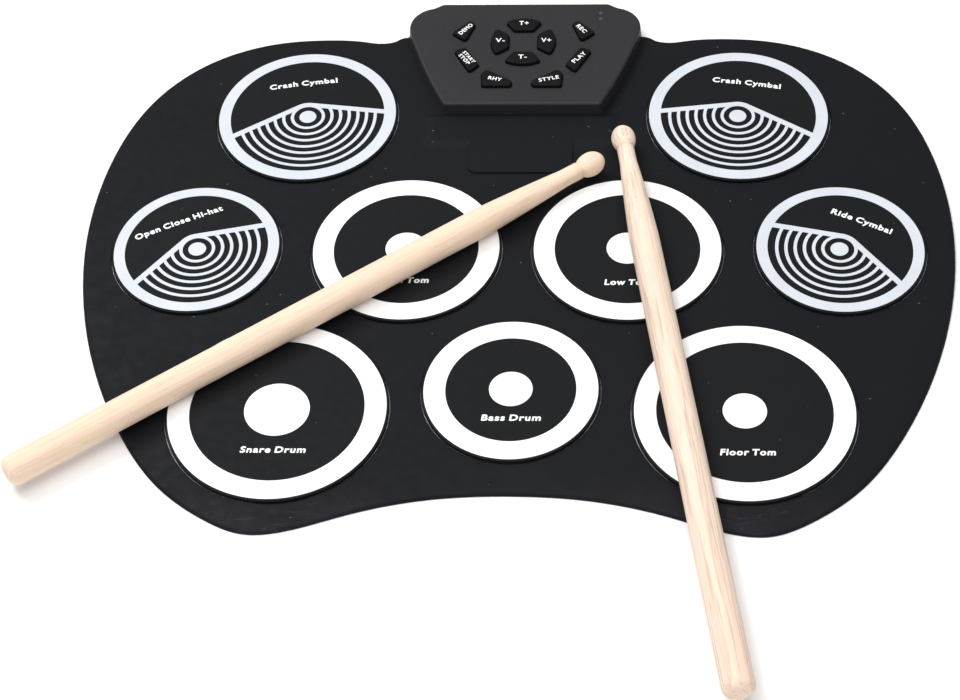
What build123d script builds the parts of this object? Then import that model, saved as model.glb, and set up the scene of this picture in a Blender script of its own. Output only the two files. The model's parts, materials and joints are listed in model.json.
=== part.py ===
from build123d import *
import math
import os

# Roll-up electronic drum pad: a flexible mat with nine playing pads, a control box clamped to its rear
# edge, and a pair of drumsticks resting across it. Millimetres. The origin is on the mat's underside, on
# the line of symmetry and level with the row of toms. +X is the player's right, +Y the rear, +Z up.

# ---- Mat: two silicone skins with a printed membrane switch sealed between them ----
MAT_T = 3.0
BOTTOM_T = 1.0
FILM_T = 0.25
SKIRT_W = 2.0
FILM_INSET = 3.8
FILM_TOP = BOTTOM_T + 3 * FILM_T
MAT_EDGE_R = 1.1
MAT_FRONT_Y = -143.9
MAT_REAR_Y = 151.2
# Right half of the mat's edge, from the middle of the front round to the side of the control box.
MAT_EDGE = [
    (0, MAT_FRONT_Y), (36, -146.2), (72, -154.9), (101, -164.2), (115, -165.0), (133, -157.8),
    (157, -139.2), (177, -111.2), (193, -77.5), (204.8, -38.6), (210.6, 18), (205.4, 62.5),
    (190, 103.4), (162.5, 132.8), (128, 147), (104, 149.2), (84, 147.8), (73, 146.6), (67, 148.6),
    (61.5, MAT_REAR_Y),
]
FLARE_TANGENT = (-1, 0.15)
EDGE_STEPS = 32

# ---- Raised cover over the sensor tail, moulded into the top skin in front of the box ----
COVER_H = 0.8
COVER_REAR_Y = 91.8
COVER_TOP = [(-44.5, COVER_REAR_Y), (-44.5, 74.5), (44.5, 74.5), (44.5, COVER_REAR_Y)]
COVER_SLOPE = 5.0
COVER_FRONT_STRETCH = 1.4
STEP_HALF_W = 26.0
STEP_FRONT_Y = 51.2
STEP_R = 4.0

# ---- Playing pads: name, centre x, centre y, radius of the printed disc ----
PADS = [
    ("crash_left", -109.3, 90.9, 45.0), ("crash_right", 109.3, 90.9, 45.0),
    ("hi_hat", -155.1, 0.0, 40.0), ("ride", 155.1, 0.0, 40.0),
    ("high_tom", -53.3, 0.0, 45.0), ("low_tom", 53.3, 0.0, 45.0),
    ("snare", -106.2, -98.8, 50.0), ("floor_tom", 106.2, -98.8, 50.0),
    ("bass", 0.0, -86.5, 40.0),
]
PAD_RIM = 1.2
PAD_GAP = 0.4
PAD_TOP = 4.5
PAD_BOTTOM = 2.4
PAD_EDGE_R = 0.5
CONTACT_MARGIN = 6.0

# ---- Control box ----
BOX_TOP = 10.5
BOX_FRONT_Y = 92.2
BOX_REAR_Y = 168.3
BOX_HALF_W = 60.7
# Corners of the right half of the box's plan: front, waist of the bowed side, both ends of the ear, and step.
BOX_FRONT_CORNER = (40.0, BOX_FRONT_Y)
BOX_WAIST = (51.9, 119.6)
EAR_START = (60.3, 147.0)
EAR_END = (48.6, BOX_REAR_Y - 3.1)
BOX_REAR_CORNER = (43.6, BOX_REAR_Y)
BOX_DRAFT = 0.55
WALL = 1.8
TOP_T = 1.6
CEILING = BOX_TOP - TOP_T
LIP_W = 6.0
FLOOR_T = FILM_TOP
FLOOR_INSET = 0.8
SKIN_WINDOW_INSET = 0.5
PLAIN_REAR_Y = MAT_REAR_Y + 0.4
TOP_EDGE_R = 1.3
BOX_CORNER_R = 2.2

# ---- Keys round a ring centre: each outline is drawn about that centre ----
RING_X = -0.5
RING_Y = 137.5
KEY_TOP = 12.5
KEY_GAP = 0.35
KEY_EDGE_R = 0.5
FLANGE_W = 0.8
FLANGE_Z = (7.4, 8.6)
PLUNGER_INSET = 1.0
PLUNGER_Z = 5.5
PILL_Z = 5.1
PILL_R = 1.6
INNER_R = 17.2
INNER_HALF_ANGLE = 33.0
INNER_FLAT = 8.0
INNER_FLAT_HALF_W = 4.9
SIDE_KEY_SHIFT = 0.5
# Corners of the three outer keys of the right side from the ring's centre, before rounding.
REC_CORNERS = [(25.2, 13.3), (28.2, 15.4), (37.3, 6.4), (30.0, 0.4)]
PLAY_CORNERS = [(29.8, -4.7), (35.5, -7.2), (27.1, -22.8), (22.2, -17.4)]
STYLE_CORNERS = [(18.1, -21.3), (20.8, -23.7), (20.3, -33.2), (5.4, -33.2), (5.0, -29.6)]
KEY_CORNER_R = 1.25

# ---- Circuit board and keypad web ----
BOARD_Z = 2.9
BOARD_T = 1.0
BOARD_TOP = BOARD_Z + BOARD_T
BOARD_INSET = 8.0
BOARD_REAR_Y = BOX_REAR_Y - 2.2
BOARD_REAR_HALF_W = 41.5
WEB_T = 0.7
WEB_FRONT_Y = 103.6
WEB_REAR_Y = 153.4
WEB_HALF_W = 39.0
WEB_TONGUE_HALF_W = 10.8
WEB_TONGUE_Y = 156.2
WEB_GAP = 0.5

# ---- Screws ----
CASE_SCREWS = [(33.0, 101.6), (44.5, 126.0), (50.5, 153.5), (-33.0, 101.6), (-44.5, 126.0), (-50.5, 153.5)]
BOARD_SCREWS = [(RING_X, RING_Y), (RING_X + 23.0, RING_Y), (RING_X - 23.0, RING_Y), (0.0, 113.5)]
CASE_BOSS_R = 2.5
BOARD_BOSS_R = 2.3
FLOOR_BOSS_TOP = 2.35
SCREW_R = 1.0
SCREW_HOLE_R = 1.05
SCREW_END_GAP = 0.3
SCREW_POINT = 0.6
CROSS_HALF_L = 1.1
CROSS_HALF_W = 0.25
CROSS_DEPTH = 0.45
CASE_HEAD_R = 1.9
CASE_HEAD_Z = (0.15, 1.1)
CASE_RECESS_R = 2.1
CASE_SCREW_TIP = 7.4
BOARD_HEAD_R = 1.7
BOARD_HEAD_T = 0.9
BOARD_SCREW_TIP = 7.6

# ---- Rear sockets ----
SOCKETS = [("headphone_socket", 14.5), ("line_in_socket", 25.0), ("kick_pedal_socket", -14.5),
           ("hi_hat_pedal_socket", -25.0)]
SOCKET_Z = 6.35
SOCKET_BORE_R = 1.8
SOCKET_BORE_L = 12.0
SOCKET_NOSE_R = 2.35
SOCKET_HOLE_R = 2.45
SOCKET_W = 6.0
SOCKET_REAR_Y = BOX_REAR_Y - WALL - 0.1
SOCKET_FRONT_Y = SOCKET_REAR_Y - 11.3
NOSE_REAR_Y = BOX_REAR_Y - 0.3
USB_W = 7.6
USB_H = 2.7
USB_FRONT_Y = NOSE_REAR_Y - 7.2
USB_SHELL_T = 0.3
USB_GAP = 0.25
USB_CORNER = 0.7
USB_INNER_CORNER = 0.6
TONGUE_HALF_W = 1.9
TONGUE_T = 0.6
TONGUE_ROOF_GAP = 0.55
TONGUE_RECESS = 1.0
SWITCH_X = -36.0
SWITCH_BODY = (8.6, 3.8, 3.6)
KNOB = (3.0, 4.8, 1.6)
KNOB_ROOT = 2.2
KNOB_TRAVEL = 2.5
KNOB_GAP = 0.3
KNOB_EDGE_R = 0.3

# ---- Small parts on the board: places and sizes (width, depth, height) ----
SOUND_CHIP = (-43.5, 141.0, (8.0, 8.0, 1.2))
AMPLIFIER_CHIP = (43.5, 141.0, (4.0, 5.0, 1.5))
CRYSTAL = (-43.5, 134.0, (5.0, 2.0, 1.6))
CAN_PLACES = [(43.5, 134.2), (46.6, 149.2)]
CAN_R = 2.0
CAN_H = 4.0
CERAMIC_START = (-48.0, 148.4)
CERAMIC_PITCH = 2.6
CERAMIC_SIZE = (1.0, 1.8, 0.8)
CERAMIC_COUNT = 4

# ---- Indicator lights ----
LIGHT_X = 39.4
LIGHTS_Y = [160.2, 155.6]
LENS_R = 1.0
LENS_HOLE_R = 1.05
LED_SIZE = (1.6, 0.8, 0.7)
PIPE_FOOT_GAP = 1.2
LENS_RISE = 0.1
COLLAR_W = 0.5
COLLAR_T = 0.8

# ---- Sensor tail and its connector ----
TAIL_HALF_W = 11.0
TAIL_T = 0.2
TAIL_Z = FILM_T + BOTTOM_T
TAIL_START_Y = 84.0
TAIL_BEND_Y = 98.8
TAIL_TOP_Z = 5.0
TAIL_PLUGGED = 1.2
TAIL_CHANNEL_Z = 1.15
CONNECTOR_Y = (100.5, 103.3)
CONNECTOR_H = 2.0
CONNECTOR_HALF_W = 13.0
CONNECTOR_SIDE_GAP = 0.2
CONNECTOR_SLOT_GAP = 0.05

# ---- Drumsticks: butt and tip, the axis height, and the turned profile ----
STICKS = [("drumstick_left", (-222.0, -141.2), (41.2, 53.5)),
          ("drumstick_right", (98.9, -250.5), (50.3, 73.9))]
STICK_R = 7.2
STICK_GAP = 0.1
STICK_Z = PAD_TOP + STICK_R + STICK_GAP
BEAD_R = 6.0
BEAD_L = 16.0
NECK_R = 4.3
NECK_L = 8.0
TAPER_L = 54.0
BUTT_R = 3.5


def bar(x0, x1, y0, y1, z0, z1):
    """A block between the given limits."""
    centre = ((x0 + x1) / 2, (y0 + y1) / 2, (z0 + z1) / 2)
    return Pos(*centre) * Box(x1 - x0, y1 - y0, z1 - z0)


def disc(x, y, r, z0, z1):
    """An upright cylinder standing on z0."""
    return Pos(x, y, (z0 + z1) / 2) * Cylinder(r, z1 - z0)


def prism(face, z0, z1):
    """A flat outline raised from z0 to z1."""
    return Pos(0, 0, z0) * extrude(face, amount=z1 - z0)


def inset(face, amount):
    """The outline moved inwards by amount, or outwards where it is negative."""
    return offset(face, amount=-amount, kind=Kind.ARC).face()


def rounded_polygon(points, radius):
    """A closed outline through the points, with every corner rounded."""
    outline = make_face(Polyline(*points, close=True))
    return fillet(outline.vertices(), radius).face()


def mat_outline(inward=0.0):
    """The mat's edge moved inwards: a spline on each side, and a straight stretch under the box."""
    edge = Spline(*MAT_EDGE, tangents=[(1, 0), FLARE_TANGENT])
    points = MAT_EDGE
    if inward > 0:
        steps = [i / EDGE_STEPS for i in range(EDGE_STEPS + 1)]
        moved = [edge @ t + inward * (edge % t).rotate(Axis.Z, 90) for t in steps]
        points = [(p.X, p.Y) for p in moved]
    end_x, end_y = points[-1]
    right = Spline(*points, tangents=[(1, 0), FLARE_TANGENT])
    left = Spline(*[(-x, y) for x, y in points], tangents=[(-1, 0), (-FLARE_TANGENT[0], FLARE_TANGENT[1])])
    rear = Line((-end_x, end_y), (end_x, end_y))
    return make_face([*right.edges(), *left.edges(), rear])


def box_outline():
    """Plan of the control box: straight front, bowed sides, round ears and a stepped rear."""
    side = ThreePointArc(BOX_FRONT_CORNER, BOX_WAIST, EAR_START)
    ear = TangentArc(EAR_START, EAR_END, tangent=side % 1)
    step = Line(EAR_END, BOX_REAR_CORNER)
    half = [*side.edges(), *ear.edges(), *step.edges()]
    other = [mirror(edge, about=Plane.YZ) for edge in half]
    front_x, rear_x = BOX_FRONT_CORNER[0], BOX_REAR_CORNER[0]
    front = Line((-front_x, BOX_FRONT_Y), (front_x, BOX_FRONT_Y))
    rear = Line((-rear_x, BOX_REAR_Y), (rear_x, BOX_REAR_Y))
    outline = make_face([*half, *other, front, rear])
    corners = outline.vertices().filter_by(lambda v: v.Y < BOX_FRONT_Y + 1 or v.Y > EAR_END[1] - 1)
    return fillet(corners, BOX_CORNER_R).face()


BOX = box_outline()


def window(amount):
    """The box's plan moved inwards, and open to the rear where the mat ends."""
    hole = prism(inset(BOX, amount), -1, MAT_T + 1)
    half_w = BOX_HALF_W - amount
    return hole + bar(-half_w, half_w, MAT_REAR_Y - 1.5, BOX_REAR_Y + 2, -1, MAT_T + 1)


def tail_cover():
    """The raised boss over the sensor tail: a sloped plateau and the flat step in front of it."""
    top = make_face(Polyline(*COVER_TOP, close=True))
    foot_x = COVER_TOP[2][0] + COVER_SLOPE
    foot_y = COVER_TOP[1][1] - COVER_FRONT_STRETCH * COVER_SLOPE
    foot = make_face(Polyline((-foot_x, COVER_REAR_Y), (-foot_x, foot_y), (foot_x, foot_y),
                              (foot_x, COVER_REAR_Y), close=True))
    plateau = loft([Pos(0, 0, MAT_T - 0.1) * foot, Pos(0, 0, MAT_T + COVER_H) * top])
    step = bar(-STEP_HALF_W, STEP_HALF_W, STEP_FRONT_Y, COVER_TOP[1][1] + 2, MAT_T - 0.1, MAT_T + COVER_H)
    front_corners = step.edges().filter_by(Axis.Z).group_by(Axis.Y)[0]
    step = fillet(front_corners, STEP_R)
    return plateau + step


def mat_top_skin():
    skin = prism(mat_outline(), 0, MAT_T)
    rim = skin.faces().sort_by(Axis.Z)[-1].edges().filter_by(lambda e: e.center().Y < MAT_REAR_Y - 0.5)
    skin = fillet(rim, MAT_EDGE_R)
    skin -= prism(mat_outline(SKIRT_W), -1, BOTTOM_T)
    skin -= prism(mat_outline(FILM_INSET), BOTTOM_T - 0.5, FILM_TOP)
    skin += tail_cover()
    skin -= window(LIP_W)
    skin -= prism(inset(BOX, SKIN_WINDOW_INSET), -1, FLOOR_T)
    for _, x, y, r in PADS:
        skin -= disc(x, y, r + PAD_RIM + PAD_GAP, FILM_TOP - 0.5, MAT_T + 2)
    return skin


def mat_bottom_skin():
    return prism(mat_outline(SKIRT_W), 0, BOTTOM_T) - window(SKIN_WINDOW_INSET)


def film(level):
    """One sheet of the membrane switch: 0 is the lower film, 1 the spacer and 2 the upper film."""
    z0 = BOTTOM_T + level * FILM_T
    sheet = prism(mat_outline(FILM_INSET), z0, z0 + FILM_T) - window(SKIN_WINDOW_INSET)
    if level > 0:
        half_w = TAIL_HALF_W + 0.5
        sheet -= bar(-half_w, half_w, TAIL_START_Y - 0.5, BOX_FRONT_Y + 2, z0 - 1, z0 + 1)
    if level == 1:
        for _, x, y, r in PADS:
            sheet -= disc(x, y, r - CONTACT_MARGIN, z0 - 1, z0 + 1)
    return sheet


def sensor_tail():
    """The flat flexible strip that joins the membrane to the board's connector."""
    outer_y = TAIL_BEND_Y + TAIL_T
    end_y = CONNECTOR_Y[0] + TAIL_PLUGGED
    upper_z = TAIL_TOP_Z - TAIL_T
    section = [
        (TAIL_START_Y, TAIL_Z), (outer_y, TAIL_Z), (outer_y, upper_z), (end_y, upper_z), (end_y, TAIL_TOP_Z),
        (TAIL_BEND_Y, TAIL_TOP_Z), (TAIL_BEND_Y, TAIL_Z + TAIL_T), (TAIL_START_Y, TAIL_Z + TAIL_T),
    ]
    return extrude(Plane.YZ * make_face(Polyline(*section, close=True)), amount=TAIL_HALF_W, both=True)


def pad(x, y, r):
    """A playing disc with a softened top edge."""
    body = disc(x, y, r + PAD_RIM, PAD_BOTTOM, PAD_TOP)
    return fillet(body.edges().sort_by(Axis.Z)[-1], PAD_EDGE_R)


def inner_key(angle, shift=0.0):
    """A lens-shaped key of the middle ring, moved towards the centre by shift: an arc outside, and a flat
    with cut corners inside."""
    half = math.radians(INNER_HALF_ANGLE)
    end = (INNER_R * math.sin(half), INNER_R * math.cos(half))
    arc = ThreePointArc((-end[0], end[1]), (0, INNER_R), end)
    flat = [(INNER_FLAT_HALF_W, INNER_FLAT), (-INNER_FLAT_HALF_W, INNER_FLAT)]
    sides = Polyline(end, *flat, (-end[0], end[1]))
    outline = make_face([*arc.edges(), *sides.edges()])
    outline = fillet(outline.vertices(), KEY_CORNER_R).face()
    return Pos(RING_X, RING_Y) * Rot(0, 0, angle) * Pos(0, -shift) * outline


def outer_key(corners, side):
    """A key of the outer ring, drawn for the right side; a side of -1 mirrors it to the left."""
    points = [(RING_X + side * x, RING_Y + y) for x, y in corners]
    return rounded_polygon(points, KEY_CORNER_R)


KEYS = {
    "tempo_up": inner_key(0), "volume_up": inner_key(-90, SIDE_KEY_SHIFT),
    "tempo_down": inner_key(180), "volume_down": inner_key(90, SIDE_KEY_SHIFT),
    "record": outer_key(REC_CORNERS, 1), "play": outer_key(PLAY_CORNERS, 1),
    "style": outer_key(STYLE_CORNERS, 1), "demo": outer_key(REC_CORNERS, -1),
    "start_stop": outer_key(PLAY_CORNERS, -1), "rhythm": outer_key(STYLE_CORNERS, -1),
}


def key(outline):
    """A rubber key: the cap that shows, a flange that keeps it in, and the plunger below."""
    cap = prism(outline, FLANGE_Z[1], KEY_TOP)
    cap = fillet(cap.faces().sort_by(Axis.Z)[-1].edges(), KEY_EDGE_R)
    flange = prism(inset(outline, -FLANGE_W), *FLANGE_Z)
    plunger = prism(inset(outline, PLUNGER_INSET), PLUNGER_Z, FLANGE_Z[0])
    return cap + flange + plunger


def key_pill(outline):
    """The carbon pill under a key, which closes a contact on the board."""
    centre = outline.center()
    return disc(centre.X, centre.Y, PILL_R, PILL_Z, PLUNGER_Z)


def keypad_web():
    """The silicone sheet that lies on the board round the keys' plungers."""
    top = BOARD_TOP + WEB_T
    web = bar(-WEB_HALF_W, WEB_HALF_W, WEB_FRONT_Y, WEB_REAR_Y, BOARD_TOP, top)
    web += bar(-WEB_TONGUE_HALF_W, WEB_TONGUE_HALF_W, WEB_REAR_Y - 1, WEB_TONGUE_Y, BOARD_TOP, top)
    for outline in KEYS.values():
        web -= prism(inset(outline, PLUNGER_INSET - WEB_GAP), BOARD_Z, CEILING)
    for x, y in BOARD_SCREWS:
        web -= disc(x, y, BOARD_BOSS_R + WEB_GAP, BOARD_Z, CEILING)
    for x, y in CASE_SCREWS:
        web -= disc(x, y, CASE_BOSS_R + WEB_GAP, BOARD_Z, CEILING)
    return web


def upper_casing():
    shell = loft([Pos(0, 0, MAT_T) * BOX, Pos(0, 0, BOX_TOP) * inset(BOX, BOX_DRAFT)], ruled=True)
    shell = fillet(shell.faces().sort_by(Axis.Z)[-1].edges(), TOP_EDGE_R)
    shell -= prism(inset(BOX, WALL), MAT_T - 1, CEILING)
    for x, y in CASE_SCREWS:
        shell += disc(x, y, CASE_BOSS_R, FLOOR_BOSS_TOP, CEILING + 0.5)
        shell -= disc(x, y, SCREW_HOLE_R, FLOOR_BOSS_TOP - 1, CASE_SCREW_TIP + SCREW_END_GAP)
    for x, y in BOARD_SCREWS:
        shell += disc(x, y, BOARD_BOSS_R, BOARD_TOP, CEILING + 0.5)
        shell -= disc(x, y, SCREW_HOLE_R, BOARD_TOP - 1, BOARD_SCREW_TIP + SCREW_END_GAP)
    for outline in KEYS.values():
        shell -= prism(inset(outline, -KEY_GAP), CEILING - 1, BOX_TOP + 1)
    for y in LIGHTS_Y:
        shell -= disc(LIGHT_X, y, LENS_HOLE_R, CEILING - 1, BOX_TOP + 1)
    for _, x in SOCKETS:
        shell -= rear_rod(x, SOCKET_HOLE_R, SOCKET_REAR_Y - 1, BOX_REAR_Y + 1)
    half_usb = USB_W / 2 + USB_GAP
    shell -= bar(-half_usb, half_usb, SOCKET_REAR_Y - 2, BOX_REAR_Y + 1, BOARD_TOP - USB_GAP,
                 BOARD_TOP + USB_H + USB_GAP)
    return shell - knob_slot()


def lower_casing():
    """The tray under the mat: a floor in the mat's window and a wall where the mat ends."""
    rear = prism(BOX, 0, MAT_T) - prism(inset(BOX, WALL), FLOOR_T, MAT_T + 1)
    rear -= bar(-BOX_HALF_W - 1, BOX_HALF_W + 1, BOX_FRONT_Y - 1, PLAIN_REAR_Y, -1, MAT_T + 1)
    tray = prism(inset(BOX, FLOOR_INSET), 0, FLOOR_T) + rear
    for x, y in CASE_SCREWS:
        tray += disc(x, y, CASE_BOSS_R, FLOOR_T - 0.5, FLOOR_BOSS_TOP)
        tray -= disc(x, y, SCREW_HOLE_R, -1, FLOOR_BOSS_TOP + 1)
        tray -= disc(x, y, CASE_RECESS_R, -1, CASE_HEAD_Z[1])
    half_w = TAIL_HALF_W + 1
    return tray - bar(-half_w, half_w, BOX_FRONT_Y - 1, TAIL_BEND_Y + 1, TAIL_CHANNEL_Z, FLOOR_T + 1)


def circuit_board():
    plan = prism(inset(BOX, BOARD_INSET), BOARD_Z, BOARD_TOP)
    half_w = BOARD_REAR_HALF_W
    board = plan + bar(-half_w, half_w, RING_Y, BOARD_REAR_Y, BOARD_Z, BOARD_TOP)
    for x, y in CASE_SCREWS:
        board -= disc(x, y, CASE_BOSS_R + WEB_GAP, BOARD_Z - 1, BOARD_TOP + 1)
    for x, y in BOARD_SCREWS:
        board -= disc(x, y, SCREW_HOLE_R, BOARD_Z - 1, BOARD_TOP + 1)
    return board


def on_board(x, y, size):
    """A component's body, of the given width, depth and height, standing on the board."""
    w, d, h = size
    return bar(x - w / 2, x + w / 2, y - d / 2, y + d / 2, BOARD_TOP, BOARD_TOP + h)


def capacitors():
    """Two upright electrolytic cans and a row of small ceramic chips."""
    cans = [disc(x, y, CAN_R, BOARD_TOP, BOARD_TOP + CAN_H) for x, y in CAN_PLACES]
    x0, y0 = CERAMIC_START
    chips = [on_board(x0 + CERAMIC_PITCH * i, y0, CERAMIC_SIZE) for i in range(CERAMIC_COUNT)]
    return Compound(children=cans + chips)


def tail_connector():
    y0, y1 = CONNECTOR_Y
    top = BOARD_TOP + CONNECTOR_H
    body = bar(-CONNECTOR_HALF_W, CONNECTOR_HALF_W, y0, y1, BOARD_TOP, top)
    half_w = TAIL_HALF_W + CONNECTOR_SIDE_GAP
    slot_z = (TAIL_TOP_Z - TAIL_T - CONNECTOR_SLOT_GAP, TAIL_TOP_Z + CONNECTOR_SLOT_GAP)
    return body - bar(-half_w, half_w, y0 - 1, y0 + TAIL_PLUGGED + 0.1, *slot_z)


def rear_rod(x, r, y0, y1):
    """A round rod along Y, on the axis of the socket at x."""
    return Pos(x, (y0 + y1) / 2, SOCKET_Z) * Rot(-90, 0, 0) * Cylinder(r, y1 - y0)


def audio_socket(x):
    """A 3.5 mm jack socket: body on the board, round nose through the wall, blind bore."""
    half_w = SOCKET_W / 2
    body = bar(x - half_w, x + half_w, SOCKET_FRONT_Y, SOCKET_REAR_Y, BOARD_TOP, 2 * SOCKET_Z - BOARD_TOP)
    nose = rear_rod(x, SOCKET_NOSE_R, SOCKET_REAR_Y - 1, NOSE_REAR_Y)
    return body + nose - rear_rod(x, SOCKET_BORE_R, NOSE_REAR_Y - SOCKET_BORE_L, NOSE_REAR_Y + 1)


def usb_socket():
    """The folded metal shell of the power socket, open to the rear."""
    half_w = USB_W / 2
    shell = bar(-half_w, half_w, USB_FRONT_Y, NOSE_REAR_Y, BOARD_TOP, BOARD_TOP + USB_H)
    lower_corners = shell.edges().filter_by(Axis.Y).group_by(Axis.Z)[0]
    shell = chamfer(lower_corners, USB_CORNER)
    cavity = bar(-half_w + USB_SHELL_T, half_w - USB_SHELL_T, USB_FRONT_Y + USB_SHELL_T, NOSE_REAR_Y + 1,
                 BOARD_TOP + USB_SHELL_T, BOARD_TOP + USB_H - USB_SHELL_T)
    inner_corners = cavity.edges().filter_by(Axis.Y).group_by(Axis.Z)[0]
    return shell - chamfer(inner_corners, USB_INNER_CORNER)


def usb_tongue():
    """The contact carrier inside the power socket."""
    z = BOARD_TOP + USB_H - USB_SHELL_T - TONGUE_ROOF_GAP
    y1 = NOSE_REAR_Y - TONGUE_RECESS
    return bar(-TONGUE_HALF_W, TONGUE_HALF_W, USB_FRONT_Y + USB_SHELL_T, y1, z - TONGUE_T, z)


def knob_slot():
    """The window that the power switch's knob slides in, cut through wall and switch body alike."""
    half_w = (KNOB[0] + KNOB_TRAVEL) / 2 + KNOB_GAP
    half_h = KNOB[2] / 2 + KNOB_GAP
    z = BOARD_TOP + SWITCH_BODY[2] / 2
    y0 = SOCKET_REAR_Y - KNOB_ROOT
    return bar(SWITCH_X - half_w, SWITCH_X + half_w, y0, BOX_REAR_Y + 1, z - half_h, z + half_h)


def power_switch_body():
    w, d, h = SWITCH_BODY
    return on_board(SWITCH_X, SOCKET_REAR_Y - d / 2, (w, d, h)) - knob_slot()


def power_switch_knob():
    """The sliding knob, shown in the off position at the left end of its slot."""
    w, d, h = KNOB
    x = SWITCH_X - KNOB_TRAVEL / 2
    y0 = SOCKET_REAR_Y - KNOB_ROOT + KNOB_GAP
    z = BOARD_TOP + SWITCH_BODY[2] / 2
    knob = bar(x - w / 2, x + w / 2, y0, y0 + d, z - h / 2, z + h / 2)
    return fillet(knob.edges().group_by(Axis.Y)[-1], KNOB_EDGE_R)


def indicator_lenses():
    foot_z = BOARD_TOP + PIPE_FOOT_GAP
    pipes = [disc(LIGHT_X, y, LENS_R, foot_z, BOX_TOP + LENS_RISE) for y in LIGHTS_Y]
    collars = [disc(LIGHT_X, y, LENS_R + COLLAR_W, CEILING - COLLAR_T, CEILING) for y in LIGHTS_Y]
    return Compound(children=[pipe + collar for pipe, collar in zip(pipes, collars)])


def indicator_leds():
    return Compound(children=[on_board(LIGHT_X, y, LED_SIZE) for y in LIGHTS_Y])


def screw(x, y, head_r, z_head, z_seat, z_tip):
    """A cross-head screw driven upwards: head from z_head to z_seat, and a pointed shank."""
    shank = disc(x, y, SCREW_R, z_seat, z_tip)
    shank = chamfer(shank.edges().sort_by(Axis.Z)[-1], SCREW_POINT)
    head = disc(x, y, head_r, z_head, z_seat)
    slot = bar(-CROSS_HALF_L, CROSS_HALF_L, -CROSS_HALF_W, CROSS_HALF_W, z_head - 1, z_head + CROSS_DEPTH)
    return head + shank - Pos(x, y) * slot - Pos(x, y) * Rot(0, 0, 90) * slot


def casing_screws():
    sizes = (CASE_HEAD_R, *CASE_HEAD_Z, CASE_SCREW_TIP)
    return Compound(children=[screw(x, y, *sizes) for x, y in CASE_SCREWS])


def board_screws():
    sizes = (BOARD_HEAD_R, BOARD_Z - BOARD_HEAD_T, BOARD_Z, BOARD_SCREW_TIP)
    return Compound(children=[screw(x, y, *sizes) for x, y in BOARD_SCREWS])


def drumstick(butt, tip):
    """A turned stick: rounded butt, long shaft, taper, neck and bead."""
    length = math.dist(butt, tip)
    neck_end = length - BEAD_L
    taper_end = neck_end - NECK_L
    taper_start = taper_end - TAPER_L
    corner = BUTT_R * (1 - math.sqrt(0.5))
    butt_arc = ThreePointArc((STICK_R - BUTT_R, 0), (STICK_R - corner, corner), (STICK_R, BUTT_R))
    shaft = Line((STICK_R, BUTT_R), (STICK_R, taper_start))
    taper = Spline((STICK_R, taper_start), (NECK_R, taper_end), tangents=[(0, 1), (-0.02, 1)])
    neck = Line((NECK_R, taper_end), (NECK_R, neck_end))
    bead_points = [(NECK_R, neck_end), (BEAD_R, length - BEAD_L / 2), (0, length)]
    bead = Spline(*bead_points, tangents=[(0.6, 1), (-1, 0)])
    axis = Polyline((0, length), (0, 0), (STICK_R - BUTT_R, 0))
    pieces = [butt_arc, shaft, taper, neck, bead, axis]
    profile = make_face([edge for piece in pieces for edge in piece.edges()])
    turned = revolve(Plane.XZ * profile, axis=Axis.Z)
    along = Vector(tip[0] - butt[0], tip[1] - butt[1], 0)
    return Plane(origin=(butt[0], butt[1], STICK_Z), z_dir=along) * turned


def all_nodes():
    """Every node's name and shape."""
    nodes = {
        "mat_top_skin": mat_top_skin(), "mat_bottom_skin": mat_bottom_skin(),
        "sensor_film_lower": film(0), "sensor_spacer": film(1), "sensor_film_upper": film(2),
        "sensor_tail": sensor_tail(),
        "upper_casing": upper_casing(), "lower_casing": lower_casing(), "keypad_web": keypad_web(),
        "circuit_board": circuit_board(), "tail_connector": tail_connector(), "capacitors": capacitors(),
        "sound_chip": on_board(*SOUND_CHIP), "amplifier_chip": on_board(*AMPLIFIER_CHIP),
        "crystal": on_board(*CRYSTAL),
        "usb_socket": usb_socket(), "usb_tongue": usb_tongue(),
        "power_switch_body": power_switch_body(), "power_switch_knob": power_switch_knob(),
        "indicator_lenses": indicator_lenses(), "indicator_leds": indicator_leds(),
        "casing_screws": casing_screws(), "board_screws": board_screws(),
    }
    for name, x, y, r in PADS:
        nodes["pad_" + name] = pad(x, y, r)
    for name, outline in KEYS.items():
        nodes["key_" + name] = key(outline)
        nodes["pill_" + name] = key_pill(outline)
    for name, x in SOCKETS:
        nodes[name] = audio_socket(x)
    for name, butt, tip in STICKS:
        nodes[name] = drumstick(butt, tip)
    return nodes


os.makedirs("parts", exist_ok=True)
for node, shape in all_nodes().items():
    export_step(shape, os.path.join("parts", node + ".step"))
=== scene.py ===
import json
import math

import bmesh
import bpy
import numpy as np
from mathutils import Matrix, Vector, geometry, noise
from mathutils.bvhtree import BVHTree


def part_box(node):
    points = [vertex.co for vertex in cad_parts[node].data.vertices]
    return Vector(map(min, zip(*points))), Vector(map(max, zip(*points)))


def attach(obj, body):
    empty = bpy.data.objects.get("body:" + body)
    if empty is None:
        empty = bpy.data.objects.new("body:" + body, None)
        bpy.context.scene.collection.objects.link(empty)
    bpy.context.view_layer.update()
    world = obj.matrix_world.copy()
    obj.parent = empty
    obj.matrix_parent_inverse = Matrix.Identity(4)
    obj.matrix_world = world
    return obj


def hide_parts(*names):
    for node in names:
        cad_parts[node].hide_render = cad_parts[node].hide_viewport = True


# The looks of a roll-up electronic drum pad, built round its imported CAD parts. Metres, in the CAD's own
# frame: the origin on the mat's underside, +X the player's right, +Y the rear and +Z up.

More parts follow.
